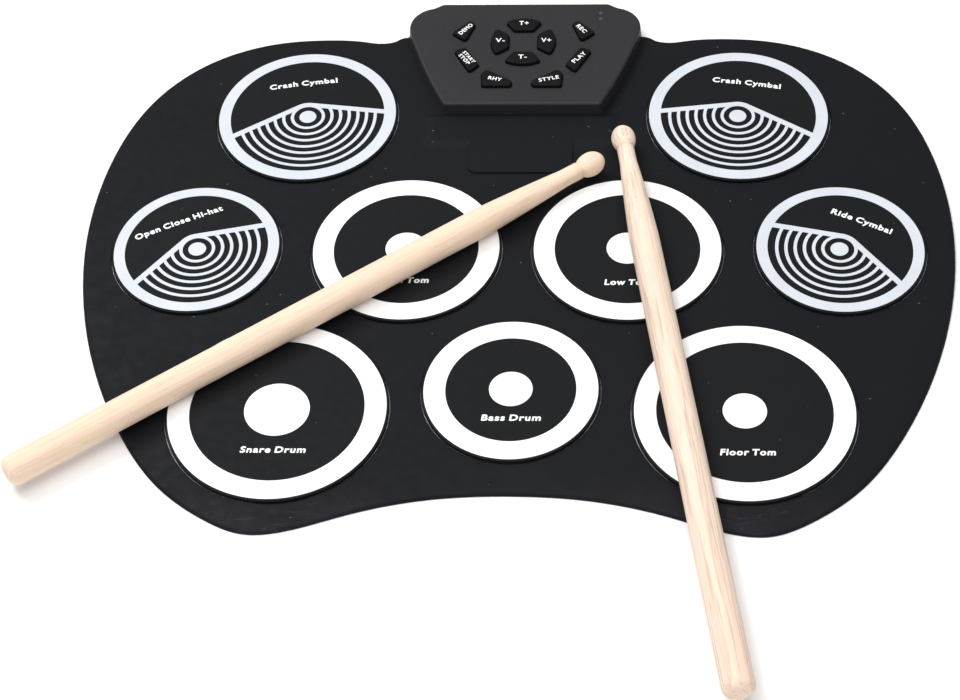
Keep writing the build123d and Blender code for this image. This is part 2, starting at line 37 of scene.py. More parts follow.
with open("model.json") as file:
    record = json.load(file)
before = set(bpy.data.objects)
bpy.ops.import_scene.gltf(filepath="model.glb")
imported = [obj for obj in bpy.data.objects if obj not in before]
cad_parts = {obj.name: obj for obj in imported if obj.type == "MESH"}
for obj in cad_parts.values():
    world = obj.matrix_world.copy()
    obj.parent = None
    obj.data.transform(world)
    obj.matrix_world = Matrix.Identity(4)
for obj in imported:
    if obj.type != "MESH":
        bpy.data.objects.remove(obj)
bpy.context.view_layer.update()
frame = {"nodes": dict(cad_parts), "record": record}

MM = 0.001

# ---- Mat ----
SLICE_MERGE = 0.001 * MM
OUTLINE_CUT_Z = 1.85 * MM
OUTLINE_STEP = 1.4 * MM
OUTLINE_BLUR = 2
MAT_ROLL_R = 1.7 * MM
SOLE_ROLL_R = 0.4 * MM
SOCKET_ROLL_R = 0.2 * MM
SOCKET_SEGMENTS = 144
# Rings nearer than this have all their points, and the others have half.
FINE_EDGE_RINGS = 3
FINE_SOCKET_RINGS = 2
# The share of its ring's distance from the edge that a point needs, to be kept.
RING_SLACK = 0.97
# How far inside the edge, or outside a socket, each ring of points lies, in millimetres.
EDGE_RINGS = [0.07, 0.2, 0.42, 0.75, 1.15, 1.6, 2.6, 4.4, 7.0]
SOCKET_RINGS = [0.06, 0.17, 0.35, 0.8, 1.8, 3.4]
SOLE_RINGS = [0.07, 0.2, 0.42, 1.97, 2.03, 3.77, 3.83]
GRID_STEP = 4.2 * MM
GRID_ROW_PITCH = 0.87
GRID_MARGIN = 2.0 * MM
HOLE_MARGIN = 0.03 * MM
RIM_PROBE_IN = 0.3 * MM
PROBE_ABOVE_Z = 50 * MM
PROBE_BELOW_Z = -10 * MM
MAT_CREASE = 50
COVER_STEP = 1.0 * MM
COVER_MARGIN = 0.6 * MM
COVER_REAR_MARGIN = 4 * MM
COVER_BOX = (-53 * MM, 53 * MM, 47 * MM, 94 * MM)
COVER_H = 0.8 * MM
COVER_WALL = 0.07 * MM
WAVE_HEIGHT = 0.07 * MM
WAVE_LENGTH = 70 * MM
WAVE_FADE = 9 * MM
WAVE_LAYER = 0.3
LOBE_FALL = 1.4 * MM
LOBE_WIDTH = 18 * MM
LOBE_REACH = 60 * MM
LOBE_SOCKET_MARGIN = 4 * MM
RIM_Z = 0.6 * MM
# Where the painted sheen and the real scuffs along the mat's front start, and where they reach full
# strength.
SHEEN_AND_WEAR_FROM_Y = -140 * MM
SHEEN_AND_WEAR_FULL_Y = -158 * MM

# ---- Pads and their print ----
PAD_RIM = 1.2 * MM
PAD_ROLL_R = 0.38 * MM
PAD_FOOT = 0.2 * MM
PAD_TOP_RINGS = (0.97, 0.8, 0.55, 0.3, 0.1)
PAD_CREASE = 50
ROLL_STEPS = 7
PRINT_T = 0.05 * MM
PRINT_SINK = 0.02 * MM
DRUM_RING_W = 10 * MM
# Width of a cymbal's ring, by the radius of its print in millimetres.
CYMBAL_RING_W = {45: 5.9 * MM, 40: 5.3 * MM}
DOT_R = {"snare": 15 * MM, "high_tom": 10 * MM, "low_tom": 10 * MM, "floor_tom": 10 * MM, "bass": 10 * MM}
HUB_DOT_R = 4.3 * MM
HUB_R = 7.1 * MM
ARC_PITCH = 4.4 * MM
ARC_W = 1.6 * MM
CHEVRON_W = 3.0 * MM
CHEVRON_DROP = math.radians(20.2)
ARC_STEP = math.radians(2.5)
# Points on the printed circles, from the outermost inwards.
CYMBAL_POINTS = (160, 72, 60)
DRUM_POINTS = (176, 152, 96)
CYMBALS = {
    "crash_left": {"turn": 13.0, "shift": 1.2 * MM, "arcs": 6},
    "crash_right": {"turn": -13.0, "shift": 1.2 * MM, "arcs": 6},
    "hi_hat": {"turn": 32.7, "shift": 0.75 * MM, "arcs": 5},
    "ride": {"turn": -32.7, "shift": 0.75 * MM, "arcs": 5},
}
# Words on the pads: text, length, centre from the pad's centre, turn in degrees, slant, bow. Millimetres.
PAD_WORDS = {
    "snare": ("Snare Drum", 29.8, (0.4, -22.7), 0.0, 0.12, 0.0),
    "bass": ("Bass Drum", 27.2, (0.6, -16.5), 0.0, 0.12, 0.0),
    "floor_tom": ("Floor Tom", 24.9, (0.6, -23.2), 0.0, 0.12, 0.0),
    "low_tom": ("Low Tom", 22.0, (0.0, -21.6), 0.0, 0.12, 0.0),
    "high_tom": ("High Tom", 23.0, (0.6, -20.4), 0.0, 0.12, 0.0),
    "crash_left": ("Crash Cymbal", 35.0, (1.2, 23.5), -4.0, 0.0, 0.5),
    "crash_right": ("Crash Cymbal", 35.0, (-0.2, 23.5), 4.0, 0.0, 0.5),
    "hi_hat": ("Open Close Hi-hat", 45.0, (0.0, 20.1), -6.4, 0.0, 0.6),
    "ride": ("Ride Cymbal", 31.2, (0.1, 21.1), 6.4, 0.0, 0.4),
}
PAD_WORD_H = 3.8 * MM
WORD_WEIGHT = 0.19 * MM
# The height of the face's capitals, in units of its size.
CAPITAL = 0.73
LETTER_SPACING = 1.14
WORD_SPACING = 0.62
WORD_COPIES = 8
WORD_CURVE_STEPS = 3
WORD_MERGE = 1e-5
FLAT_ENOUGH = math.radians(2)
# Words on the keys: lines of text, capital height, width of the longest line, turn in degrees, and shift
# from the key's middle. Millimetres.
KEY_WORDS = {
    "tempo_up": (["T+"], 3.3, 4.9, 0.0, (0.0, 0.5)),
    "tempo_down": (["T-"], 3.3, 4.4, 0.0, (0.0, 0.5)),
    "volume_up": (["V+"], 3.3, 5.2, 0.0, (-0.3, 0.2)),
    "volume_down": (["V-"], 3.3, 4.8, 0.0, (0.3, 0.2)),
    "record": (["REC"], 2.6, 7.0, -52.0, (-0.4, 0.6)),
    "demo": (["DEMO"], 2.6, 9.4, 50.0, (0.3, 0.6)),
    "play": (["PLAY"], 2.7, 9.4, 50.0, (0.2, 0.4)),
    "start_stop": (["START", "STOP"], 2.2, 9.9, -55.0, (0.0, 0.1)),
    "rhythm": (["RHY"], 2.6, 7.0, -14.0, (0.3, 0.3)),
    "style": (["STYLE"], 2.6, 10.5, 14.0, (-0.1, 0.3)),
}
KEY_WORD_WEIGHT = 0.1 * MM
# The spacing of lines in capital heights, and the width of a shorter line as a share of the longest.
LINE_PITCH = 1.28
SHORT_LINE = 0.88
KEY_STEP = 0.45 * MM
KEY_BLUR = 2
KEY_ROLL_R = 0.75 * MM
KEY_TOP_RINGS = (0.85, 0.65, 0.45, 0.25, 0.1)
KEY_CREASE = 55
KEY_CROWN = 0.12 * MM
KEY_CUT_Z = 10.0 * MM
KEY_FLANGE_W = 0.8 * MM
KEY_FLANGE_Z = (7.4 * MM, 8.6 * MM)
KEY_PLUNGER_INSET = 1.0 * MM

# ---- Sticks ----
STICK_SEGMENTS = 96
STICK_CREASE = 60
BUTT_R = 4.2 * MM
BUTT_FACE_IN = 1.0 * MM
BUTT_FACE_Z = 0.25 * MM
BUTT_STEPS = 8
SHAFT_STEPS = 12
NECK_R = 4.3 * MM
NECK_STRAIGHT = 8 * MM
TAPER_LENGTH = 54 * MM
TAPER_POWER = 1.4
TAPER_STEPS = 24
BEAD_R = 6.0 * MM
BEAD_LENGTH = 16 * MM
BEAD_TIP = 7.6 * MM
BEAD_STEPS = 19
# Where the bead's round starts, and how far it turns.
BEAD_TURN = (0.16 * math.pi, 0.80 * math.pi)

# ---- Stage ----
FLOOR_HALF = 6.0
# Lights: name, place, size, power. All point at the origin.
LIGHTS = [
    ("key_light", (-1.0, 0.8, 1.9), (1.0, 1.0), 29),
    ("top_light", (0.1, -0.3, 2.3), (2.4, 1.8), 38),
    ("front_light", (-0.3, -2.4, 1.2), (2.6, 1.2), 13),
]
WORLD_STRENGTH = 0.36

# ---- Camera: its place, its angles in radians, and its lens and sensor in millimetres ----
CAMERA_AT = (0.0497, -0.7214, 0.8054)
CAMERA_PITCH = 0.88218
CAMERA_ROLL = -0.045189
CAMERA_YAW = 0.060901
CAMERA_LENS = 83.96
CAMERA_SENSOR = 36
CAMERA_SHIFT = -0.05525
CAMERA_CLIP = (0.01, 20)


# ======== Small mesh tools ========

def new_object(name, mesh):
    piece = bpy.data.objects.new(name, mesh)
    bpy.context.scene.collection.objects.link(piece)
    return piece


def mesh_from(name, verts, faces):
    """An object from plain lists, with its normals turned outwards."""
    mesh = bpy.data.meshes.new(name)
    mesh.from_pydata([tuple(v) for v in verts], [], [tuple(f) for f in faces])
    bm = bmesh.new()
    bm.from_mesh(mesh)
    bmesh.ops.recalc_face_normals(bm, faces=bm.faces)
    bm.to_mesh(mesh)
    bm.free()
    mesh.shade_smooth()
    return new_object(name, mesh)


def surface_tree(mesh):
    """A mesh to cast rays at."""
    return BVHTree.FromPolygons([v.co for v in mesh.vertices], [p.vertices for p in mesh.polygons])


def sharpen(piece, degrees):
    """Creases the shading along edges that turn by more than the given angle."""
    bm = bmesh.new()
    bm.from_mesh(piece.data)
    limit = math.radians(degrees)
    for edge in bm.edges:
        edge.smooth = edge.calc_face_angle(math.pi) < limit
    bm.to_mesh(piece.data)
    bm.free()
    return piece


def skin_rings(name, rings):
    """A closed piece through rings of equal count; its two ends are closed by fans."""
    count = len(rings[0])
    verts = [Vector(p) for ring in rings for p in ring]
    faces = []
    for level in range(len(rings) - 1):
        for i in range(count):
            a, b = level * count + i, level * count + (i + 1) % count
            faces.append((a, b, b + count, a + count))
    for level in (0, len(rings) - 1):
        verts.append(sum((Vector(p) for p in rings[level]), Vector()) / count)
        for i in range(count):
            faces.append((level * count + i, level * count + (i + 1) % count, len(verts) - 1))
    return mesh_from(name, verts, faces)


def circle(cx, cy, r, count):
    turns = np.arange(count) * (2 * math.pi / count)
    return np.column_stack([cx + r * np.cos(turns), cy + r * np.sin(turns)])


def lathe(name, profile, segments, centre=(0.0, 0.0)):
    """A turned piece about the vertical through centre, from (radius, height) pairs."""
    rings = [[(x, y, z) for x, y in circle(*centre, r, segments)] for r, z in profile]
    return skin_rings(name, rings)


def quarter(r, count):
    """Points (in, drop) on a quarter round of radius r, from its foot to its top."""
    turns = [math.pi / 2 * i / count for i in range(count + 1)]
    return [(r - r * math.cos(a), r - r * math.sin(a)) for a in turns]


def slice_loops(node, z):
    """The closed loops in which the plane at height z cuts a CAD node, the widest first."""
    bm = bmesh.new()
    bm.from_mesh(frame["nodes"][node].data)
    bmesh.ops.remove_doubles(bm, verts=bm.verts, dist=SLICE_MERGE)
    parts = bm.verts[:] + bm.edges[:] + bm.faces[:]
    cut = bmesh.ops.bisect_plane(bm, geom=parts, plane_co=(0, 0, z), plane_no=(0, 0, 1))["geom_cut"]
    bm.verts.index_update()
    links = {}
    at = {}
    for edge in [e for e in cut if isinstance(e, bmesh.types.BMEdge)]:
        a, b = edge.verts
        links.setdefault(a.index, set()).add(b.index)
        links.setdefault(b.index, set()).add(a.index)
        at[a.index], at[b.index] = a.co.copy(), b.co.copy()
    loops = []
    while links:
        start = next(iter(links))
        loop, here = [], start
        while here in links:
            onward = [n for n in links.pop(here) if n in links]
            loop.append(at[here][:2])
            if not onward:
                break
            here = onward[0]
        loops.append(np.array(loop))
    bm.free()
    return sorted(loops, key=lambda p: -np.ptp(p[:, 0]))


def anticlockwise(loop):
    x, y = loop[:, 0], loop[:, 1]
    area = np.sum(x * np.roll(y, -1) - np.roll(x, -1) * y)
    return loop if area > 0 else loop[::-1]


def resample(loop, step):
    """Evenly spaced points round a closed loop, anticlockwise."""
    loop = anticlockwise(loop)
    closed = np.vstack([loop, loop[:1]])
    run = np.concatenate([[0], np.cumsum(np.hypot(*np.diff(closed, axis=0).T))])
    count = int(round(run[-1] / step))
    at = np.arange(count) * run[-1] / count
    return np.column_stack([np.interp(at, run, closed[:, 0]), np.interp(at, run, closed[:, 1])])


def blur(loop, passes):
    for _ in range(passes):
        loop = loop / 2 + (np.roll(loop, 1, axis=0) + np.roll(loop, -1, axis=0)) / 4
    return loop


def inward_normals(loop):
    """Unit vectors into an anticlockwise loop, at each of its points."""
    along = np.roll(loop, -1, axis=0) - np.roll(loop, 1, axis=0)
    along /= np.hypot(*along.T)[:, None]
    return np.column_stack([-along[:, 1], along[:, 0]])


def distance_to(loop, points):
    """Distance of each point from a closed loop of straight pieces."""
    a = loop
    span = np.roll(loop, -1, axis=0) - a
    length2 = np.maximum((span ** 2).sum(axis=1), 1e-18)
    result = np.empty(len(points))
    for first in range(0, len(points), 2000):
        p = points[first:first + 2000, None, :] - a[None]
        t = np.clip((p * span).sum(axis=2) / length2, 0, 1)
        gap = p - t[..., None] * span
        result[first:first + 2000] = np.sqrt((gap ** 2).sum(axis=2)).min(axis=1)
    return result


def inside(loop, points):
    """Which points lie inside a closed loop."""
    result = np.zeros(len(points), bool)
    px, py = points[:, 0], points[:, 1]
    for (x0, y0), (x1, y1) in zip(loop, np.roll(loop, -1, axis=0)):
        if y0 == y1:
            continue
        crosses = (y0 > py) != (y1 > py)
        result ^= crosses & (px < x0 + (py - y0) * (x1 - x0) / (y1 - y0))
    return result


def rounded(loops):
    """Loops at the precision that the triangulator works in."""
    return [np.asarray(loop, np.float32).astype(float) for loop in loops]


def triangulate(loops, free=()):
    """Delaunay triangles through closed loops and free points.

    Returns points, triangles and, for each point, the numbers that the input gave it.
    """
    edges = []
    first = 0
    for loop in loops:
        count = len(loop)
        edges += [(first + i, first + (i + 1) % count) for i in range(count)]
        first += count
    made = geometry.delaunay_2d_cdt([Vector(p) for p in np.vstack([*loops, *free])], edges, [], 0, 1e-9)
    return np.array([tuple(p) for p in made[0]]), np.array([tuple(f) for f in made[2]]), made[3]


def within(loops, points):
    """Which points lie inside closed loops by the even-odd rule."""
    result = np.zeros(len(points), bool)
    for loop in loops:
        result ^= inside(loop, points)
    return result


def fill(loops, free=()):
    """Triangles between closed loops that don't cross, numbered by the input's points."""
    loops, free = rounded(loops), rounded(free)
    points = np.vstack([*loops, *free])
    _, triangles, origin = triangulate(loops, free)
    triangles = np.array([ids[0] for ids in origin])[triangles]
    return points, triangles[within(loops, points[triangles].mean(axis=1))]


def union_fill(groups):
    """Triangles that cover whatever lies inside any of several groups of closed loops."""
    groups = [rounded(group) for group in groups]
    at, triangles, _ = triangulate([loop for group in groups for loop in group])
    middle = at[triangles].mean(axis=1)
    return at, triangles[np.any([within(group, middle) for group in groups], axis=0)]


def roll(distance, r):
    """How far a rounded edge of radius r lies below its face, at a distance from the edge."""
    gap = np.clip(r - distance, 0, r)
    return r - np.sqrt(r * r - gap * gap)


# ======== Material tools ========

class Shader:
    """A procedural material: its node tree, and one Principled shader whose sockets it sets."""

    def __init__(self, name, **sockets):
        self.material = bpy.data.materials.new(name)
        self.material.use_nodes = True
        self.tree = self.material.node_tree
        self.bsdf = self.tree.nodes["Principled BSDF"]
        self.position = self.node("ShaderNodeTexCoord").outputs["Object"]
        for key, value in sockets.items():
            self.bsdf.inputs[key.replace("_", " ").title().replace("Ior", "IOR")].default_value = value

    def node(self, kind, **inputs):
        made = self.tree.nodes.new(kind)
        for key, value in inputs.items():
            self.put(made.inputs[key], value)
        return made

    def put(self, socket, value):
        if isinstance(value, bpy.types.NodeSocket):
            self.tree.links.new(value, socket)
        else:
            socket.default_value = value

    def stretch(self, scale):
        """Object coordinates, scaled by an amount for each axis."""
        made = self.node("ShaderNodeVectorMath")
        made.operation = "MULTIPLY"
        self.put(made.inputs[0], self.position)
        made.inputs[1].default_value = scale
        return made.outputs[0]

    def front_share(self, start, full):
        """0 behind the line y = start, rising to 1 at y = full, in front of it."""
        apart = self.node("ShaderNodeSeparateXYZ")
        self.put(apart.inputs[0], self.position)
        made = self.node("ShaderNodeMapRange")
        self.put(made.inputs["Value"], apart.outputs["Y"])
        made.inputs["From Min"].default_value = start
        made.inputs["From Max"].default_value = full
        return made.outputs["Result"]

    def noise(self, scale, detail=2.0, roughness=0.5, distortion=0.0, where=None):
        made = self.node("ShaderNodeTexNoise", Scale=scale, Detail=detail, Roughness=roughness,
                         Distortion=distortion)
        self.put(made.inputs["Vector"], where or self.position)
        return made.outputs["Fac"]

    def cells(self, scale, where=None):
        """Distance from the nearest of scattered points."""
        made = self.node("ShaderNodeTexVoronoi", Scale=scale)
        self.put(made.inputs["Vector"], where or self.position)
        return made.outputs["Distance"]

    def ramp(self, value, *stops):
        """A value carried through (position, colour or grey) stops."""
        made = self.node("ShaderNodeValToRGB")
        self.put(made.inputs["Fac"], value)
        elements = made.color_ramp.elements
        while len(elements) < len(stops):
            elements.new(0.5)
        for element, (at, colour) in zip(elements, stops):
            element.position = at
            element.color = colour if isinstance(colour, tuple) else (colour, colour, colour, 1)
        return made.outputs["Color"]

    def mix(self, share, one, other, mode="MIX"):
        made = self.node("ShaderNodeMix")
        made.data_type = "RGBA"
        made.blend_type = mode
        self.put(made.inputs["Factor"], share)
        self.put(made.inputs["A"], one)
        self.put(made.inputs["B"], other)
        return made.outputs["Result"]

    def maths(self, operation, one, other):
        made = self.node("ShaderNodeMath")
        made.operation = operation
        self.put(made.inputs[0], one)
        self.put(made.inputs[1], other)
        return made.outputs[0]

    def times(self, one, other):
        return self.maths("MULTIPLY", one, other)

    def plus(self, one, other):
        return self.maths("ADD", one, other)

    def colour(self, value):
        self.put(self.bsdf.inputs["Base Color"], value)

    def roughness(self, value, low, high):
        self.put(self.bsdf.inputs["Roughness"], self.ramp(value, (0.3, low), (0.7, high)))

    def bump(self, height, depth):
        """Relief of the given depth, in metres."""
        made = self.node("ShaderNodeBump", Height=height, Distance=depth, Strength=1.0)
        self.put(self.bsdf.inputs["Normal"], made.outputs["Normal"])


def rgb(r, g, b):
    return (r, g, b, 1.0)


# Painted sheen: the pale lavender that the mat's front lobes are lightened to, in place of the light that
# they catch.
PAINTED_LOBE_SHEEN = rgb(0.0128, 0.0118, 0.0160)
WORN_SCUFF = rgb(0.045, 0.043, 0.050)
DUST = rgb(0.4, 0.4, 0.42)
LINT = rgb(0.3, 0.3, 0.31)
# Depths of relief.
SILICONE_GRAIN = 0.03 * MM
INK_GRAIN = 0.02 * MM
PLASTIC_GRAIN = 0.03 * MM
METAL_GRAIN = 0.01 * MM
TRACK_DEPTH = 0.04 * MM
FILM_GRAIN = 0.02 * MM
RESIN_GRAIN = 0.02 * MM
WOOD_GRAIN = 0.04 * MM


def silicone(name, dark, light, dust, front_sheen_and_wear=False):
    """Matt black silicone: fine grain, faint cloudiness, and specks of dust that cling to it.

    When asked for, it also has fine scuffs along its front, where it has been rolled up from, and a painted
    sheen there: a pale lavender lightening in place of the light that the front lobes catch.
    """
    s = Shader(name, specular_ior_level=0.1)
    cloud = s.noise(14, detail=4, roughness=0.6)
    body = s.ramp(cloud, (0.3, dark), (0.7, light))
    if front_sheen_and_wear:
        # This mask along the front carries both the painted sheen and the real scuffs.
        front = s.front_share(SHEEN_AND_WEAR_FROM_Y, SHEEN_AND_WEAR_FULL_Y)
        # Painted sheen: the front is lightened towards pale lavender in cloudy patches, in place of the
        # light it catches.
        painted_sheen = s.ramp(s.noise(30, detail=5, roughness=0.6), (0.36, 0.3), (0.6, 1.0))
        body = s.mix(s.times(front, painted_sheen), body, PAINTED_LOBE_SHEEN)
        scuff = s.noise(1.0, detail=3, distortion=1.1, where=s.stretch((38, 190, 1)))
        line = s.ramp(scuff, (0.50, 0.0), (0.508, 0.5), (0.516, 0.0))
        body = s.mix(s.times(front, line), body, WORN_SCUFF)
    speck_cell = s.cells(120)
    speck = s.ramp(speck_cell, (0.015, 1.0), (0.034, 0.0))
    some = s.ramp(s.noise(31, detail=1), (0.46, 0.0), (0.52, dust))
    lint_cell = s.cells(45, where=s.stretch((1.0, 2.2, 1.0)))
    lint = s.ramp(lint_cell, (0.018, 1.0), (0.03, 0.0))
    dusty = s.mix(s.times(speck, some), body, DUST)
    s.colour(s.mix(s.times(lint, 0.4 * dust), dusty, LINT))
    s.roughness(s.noise(220, detail=3), 0.5, 0.64)
    s.bump(s.plus(s.noise(2600, detail=2), s.times(s.noise(400, detail=2), 1.4)), SILICONE_GRAIN)
    return s.material


def ink(name, low, high):
    """Screen-printed ink: nearly white, a little uneven, and thin enough to follow the grain below."""
    s = Shader(name, specular_ior_level=0.4)
    s.colour(s.ramp(s.noise(60, detail=5, roughness=0.65), (0.35, low), (0.65, high)))
    s.roughness(s.noise(300, detail=3), 0.42, 0.58)
    s.bump(s.noise(2200, detail=2), INK_GRAIN)
    return s.material


def plastic(name, dark, light, rough=(0.42, 0.55)):
    """Moulded plastic with a spark-eroded grain and slightly uneven gloss."""
    s = Shader(name, specular_ior_level=0.2)
    s.colour(s.ramp(s.noise(35, detail=5, roughness=0.6), (0.3, dark), (0.7, light)))
    s.roughness(s.noise(500, detail=4), *rough)
    s.bump(s.plus(s.cells(1500), s.times(s.noise(3000, detail=2), 0.6)), PLASTIC_GRAIN)
    return s.material


def metal(name, base, rough=(0.22, 0.38)):
    """Plated metal with fine drawn lines."""
    s = Shader(name, metallic=1.0)
    lines = s.noise(900, detail=3, where=s.stretch((1.0, 0.06, 1.0)))
    dull = rgb(base[0] * 0.8, base[1] * 0.8, base[2] * 0.8)
    s.colour(s.ramp(lines, (0.3, dull), (0.7, base)))
    s.roughness(s.noise(300, detail=4), *rough)
    s.bump(lines, METAL_GRAIN)
    return s.material


def laminate(name):
    """Circuit board: green lacquer over copper tracks, with the glass weave showing faintly."""
    s = Shader(name, specular_ior_level=0.5, coat_weight=0.3, coat_roughness=0.2)
    tracks = s.node("ShaderNodeTexBrick", Scale=260.0)
    s.put(tracks.inputs["Vector"], s.position)
    tracks.inputs["Color1"].default_value = rgb(0.01, 0.10, 0.035)
    tracks.inputs["Color2"].default_value = rgb(0.012, 0.12, 0.045)
    tracks.inputs["Mortar"].default_value = rgb(0.03, 0.2, 0.08)
    weave = s.noise(1400, detail=1, where=s.stretch((1.0, 0.3, 1.0)))
    s.colour(s.mix(s.ramp(weave, (0.4, 0.0), (0.6, 0.25)), tracks.outputs["Color"], rgb(0.02, 0.15, 0.06)))
    s.roughness(s.noise(500), 0.3, 0.45)
    s.bump(tracks.outputs["Fac"], TRACK_DEPTH)
    return s.material


def film_sheet(name):
    """Polyester film printed with silver lines."""
    s = Shader(name, specular_ior_level=0.5)
    lines = s.noise(180, detail=1, where=s.stretch((0.15, 1.0, 1.0)))
    s.colour(s.ramp(lines, (0.48, rgb(0.62, 0.64, 0.66)), (0.52, rgb(0.34, 0.36, 0.4))))
    s.roughness(s.noise(200), 0.25, 0.4)
    s.bump(lines, FILM_GRAIN)
    return s.material


def resin(name, dark, light):
    """Tinted clear resin, cloudy inside."""
    s = Shader(name, specular_ior_level=0.5, transmission_weight=0.35, ior=1.49)
    s.colour(s.ramp(s.noise(900, detail=3), (0.35, dark), (0.65, light)))
    s.roughness(s.noise(1500, detail=2), 0.12, 0.3)
    s.bump(s.noise(700, detail=2), RESIN_GRAIN)
    return s.material


def maple(name, pale, warm, streak, contrast):
    """Unlacquered maple, its grain along the piece's own Z."""
    s = Shader(name, specular_ior_level=0.2, subsurface_weight=0.35, subsurface_scale=0.005,
               subsurface_radius=(1.0, 0.62, 0.42))
    broad = s.noise(1.0, detail=3, distortion=0.6, where=s.stretch((110, 110, 9)))
    fine = s.noise(1.0, detail=4, roughness=0.65, distortion=0.3, where=s.stretch((520, 520, 16)))
    rings = s.noise(1.0, detail=2, distortion=1.6, where=s.stretch((340, 340, 7)))
    pores = s.noise(1.0, detail=2, where=s.stretch((2600, 2600, 120)))
    base = s.mix(s.ramp(broad, (0.35, 0.0), (0.68, 1.0)), pale, warm)
    dark = s.ramp(rings, (0.55, 0.0), (0.60, contrast), (0.66, 0.0))
    base = s.mix(dark, base, streak)
    base = s.mix(s.ramp(fine, (0.5, 0.0), (0.72, 0.5 * contrast)), base, streak)
    s.colour(s.mix(s.ramp(pores, (0.62, 0.0), (0.72, 0.35)), base, streak))
    s.roughness(fine, 0.5, 0.68)
    s.bump(s.plus(fine, s.times(pores, 0.8)), WOOD_GRAIN)
    return s.material


# The mat's silicone has the painted front sheen as well as the real front scuffs.
BLACK_MAT = silicone("mat_silicone", rgb(0.0060, 0.0066, 0.0084), rgb(0.0067, 0.0073, 0.0093), 0.8,
                     front_sheen_and_wear=True)
BLACK_PAD = silicone("pad_silicone", rgb(0.0066, 0.0074, 0.0086), rgb(0.0073, 0.0081, 0.0094), 0.35)
BLACK_KEY = silicone("key_rubber", rgb(0.0040, 0.0042, 0.0048), rgb(0.0050, 0.0052, 0.0060), 0.0)
WHITE_INK = ink("white_ink", rgb(0.86, 0.86, 0.86), rgb(0.92, 0.92, 0.92))
CYMBAL_INK = ink("cymbal_ink", rgb(0.565, 0.595, 0.645), rgb(0.61, 0.64, 0.69))
CASING = plastic("casing_plastic", rgb(0.0210, 0.0205, 0.0240), rgb(0.0240, 0.0234, 0.0272))
SOCKETS = plastic("socket_plastic", rgb(0.010, 0.010, 0.011), rgb(0.016, 0.016, 0.017), rough=(0.3, 0.42))
CHIPS = plastic("chip_plastic", rgb(0.012, 0.012, 0.013), rgb(0.02, 0.02, 0.021), rough=(0.5, 0.65))
SHELL_METAL = metal("part_metal", rgb(0.62, 0.62, 0.64))
SCREW_METAL = metal("screw_steel", rgb(0.35, 0.35, 0.37), rough=(0.3, 0.5))
BOARD = laminate("board_laminate")
FILM = film_sheet("sensor_sheet")
LENS = resin("lens_plastic", rgb(0.05, 0.05, 0.055), rgb(0.16, 0.16, 0.17))
LED = resin("led_resin", rgb(0.7, 0.66, 0.5), rgb(0.85, 0.82, 0.7))
CARBON = plastic("carbon_rubber", rgb(0.008, 0.008, 0.008), rgb(0.013, 0.013, 0.013), rough=(0.6, 0.75))
MAPLE_PLAIN = maple("maple_plain", rgb(0.85, 0.675, 0.53), rgb(0.82, 0.635, 0.485),
                    rgb(0.56, 0.41, 0.30), 0.34)
MAPLE_STREAKED = maple("maple_streaked", rgb(0.85, 0.685, 0.56), rgb(0.80, 0.62, 0.50),
                       rgb(0.46, 0.35, 0.28), 0.62)

SLOT_MATERIALS = {
    "mat_silicone": BLACK_MAT, "sensor_sheet": FILM, "casing_plastic": CASING, "key_rubber": BLACK_KEY,
    "board_laminate": BOARD, "chip_plastic": CHIPS, "part_metal": SHELL_METAL, "socket_plastic": SOCKETS,
    "lens_plastic": LENS, "led_resin": LED, "screw_steel": SCREW_METAL, "maple": MAPLE_PLAIN,
    "pad_silicone": BLACK_PAD, "carbon_rubber": CARBON,
}


def paint(piece, material):
    piece.data.materials.clear()
    piece.data.materials.append(material)
    return piece


def stand_in(piece, node, body, material, crease):
    """Finishes a piece that takes a CAD node's place: its shading, its material, the body that it rides
    with, and hiding the CAD node.
    """
    sharpen(piece, crease)
    paint(piece, material)
    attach(piece, body)
    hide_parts(node)


def dress_cad_nodes():
    """Gives every CAD node the material of its slot in the record."""
    for part in frame["record"]["subparts"]:
        paint(frame["nodes"][part["node"]], SLOT_MATERIALS[part["material_slot"]])


# ======== Mat ========

def pad_circle(name):
    """Centre and radius of a CAD pad, and the height of its top."""
    low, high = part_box("pad_" + name)
    return (low.x + high.x) / 2, (low.y + high.y) / 2, (high.x - low.x) / 2, high.z


def pad_names():
    return sorted(n.removeprefix("pad_") for n in frame["nodes"] if n.startswith("pad_"))


def cover_rings(top):
    """Points close on either side of the raised cover's wall, half-way up it."""
    loop = resample(slice_loops("mat_top_skin", top + COVER_H / 2)[0], COVER_STEP / 2)
    normals = inward_normals(loop)
    rings = [loop - normals * COVER_WALL, loop + normals * COVER_WALL]
    return [ring[ring[:, 1] < COVER_BOX[3] - COVER_REAR_MARGIN] for ring in rings]


